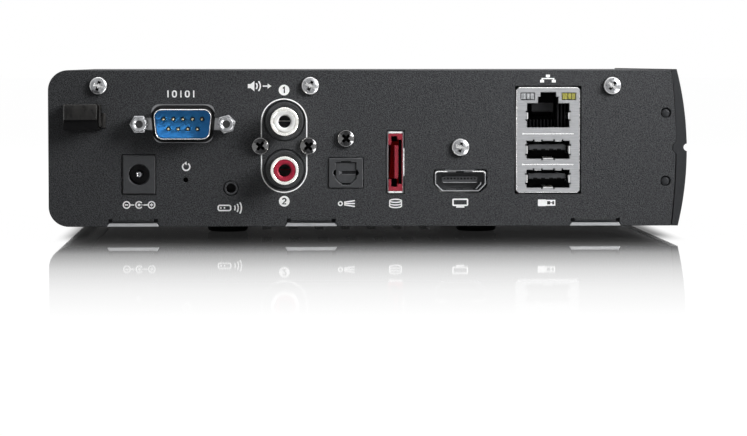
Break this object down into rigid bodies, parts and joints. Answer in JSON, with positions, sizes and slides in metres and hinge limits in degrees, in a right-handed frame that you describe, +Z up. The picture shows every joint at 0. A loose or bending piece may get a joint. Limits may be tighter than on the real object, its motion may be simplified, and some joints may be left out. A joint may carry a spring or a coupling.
{
  "type": "media player",
  "caption": "Low steel-cased network media player with a port panel, a curved grooved end bezel, rubber feet and a lead clip.",
  "frame": {"origin": "centre of the whole object's footprint, on the surface that the feet stand on", "axes": "+Z up; the port panel faces -Y; the curved bezel is the +X end"},
  "size_m": [0.185, 0.1396, 0.0485],
  "materials": {
    "coated_steel": "fine textured black powder coat",
    "smooth_plastic": "smooth satin dark grey",
    "moulded_plastic": "moulded black",
    "rubber": "matt moulded",
    "bright_screw": "bright nickel plate",
    "dark_screw": "black nickel plate",
    "tinned_steel": "tin plated, satin",
    "nickel": "nickel plated, turned",
    "gold": "gold flash",
    "blue_plastic": "moulded blue",
    "red_plastic": "moulded red",
    "white_plastic": "moulded white",
    "clear_plastic": "milky clear",
    "amber_plastic": "yellow tinted, unlit",
    "smoked_plastic": "dark red tinted, polished",
    "board": "green solder mask on laminate",
    "chip": "moulded epoxy",
    "aluminium": "extruded, clear anodised",
    "ribbon": "grey flat cable"
  },
  "bodies": {
    "casing": {"port_panel": "coated_steel", "wrap_cover": "coated_steel", "base_plate": "coated_steel", "end_panel": "coated_steel", "bezel": "smooth_plastic", "foot_near_left": "rubber", "foot_near_right": "rubber", "foot_far_left": "rubber", "foot_far_right": "rubber", "cable_clip": "moulded_plastic", "cover_screw_left": "bright_screw", "cover_screw_middle": "bright_screw", "cover_screw_right": "bright_screw", "hdmi_screw": "bright_screw", "optical_screw": "dark_screw", "sound_screw_left": "dark_screw", "sound_screw_right": "dark_screw", "end_screw_left": "bright_screw", "end_screw_right": "bright_screw", "board_screw_left": "bright_screw", "board_screw_right": "bright_screw", "main_board": "board", "processor": "chip", "heat_sink": "aluminium", "front_board": "board", "front_ribbon": "ribbon", "power_switch": "moulded_plastic", "status_light": "clear_plastic", "remote_window": "smoked_plastic", "remote_receiver": "moulded_plastic", "serial_shell": "tinned_steel", "serial_insulator": "blue_plastic", "serial_contacts": "gold", "serial_ribbon": "ribbon", "jackscrew_left": "bright_screw", "jackscrew_right": "bright_screw", "dc_jack": "moulded_plastic", "dc_pin": "tinned_steel", "reset_switch": "moulded_plastic", "remote_jack": "moulded_plastic", "sound_block": "moulded_plastic", "sound_ring_lower": "nickel", "sound_ring_upper": "nickel", "sound_insert_lower": "red_plastic", "sound_insert_upper": "white_plastic", "optical_housing": "moulded_plastic", "optical_emitter": "clear_plastic", "esata_shield": "tinned_steel", "esata_insulator": "red_plastic", "hdmi_shield": "tinned_steel", "hdmi_insulator": "moulded_plastic", "stack_shield": "tinned_steel", "network_insert": "moulded_plastic", "network_light_left": "clear_plastic", "network_light_right": "amber_plastic", "bus_insert_lower": "moulded_plastic", "bus_insert_upper": "moulded_plastic"},
    "shutter": {"optical_shutter": "moulded_plastic"},
    "reset_key": {"reset_button": "clear_plastic"},
    "power_key": {"power_button": "smooth_plastic"}
  },
  "joints": [
    {"name": "shutter_swing", "type": "hinge", "parent": "casing", "child": "shutter", "pos_m": [-0.0067, -0.06075, 0.021], "axis": [1, 0, 0], "range_deg": [0, 85], "stiffness_Nm_per_rad": 0.0015, "springref_deg": -8.59},
    {"name": "reset_press", "type": "slide", "parent": "casing", "child": "reset_key", "axis": [0, 1, 0], "range_m": [0, 0.0003], "stiffness_N_per_m": 3000, "springref_m": -0.0002},
    {"name": "power_press", "type": "slide", "parent": "casing", "child": "power_key", "axis": [-1, 0, 0], "range_m": [0, 0.0005], "stiffness_N_per_m": 2500, "springref_m": -0.0002}
  ]
}
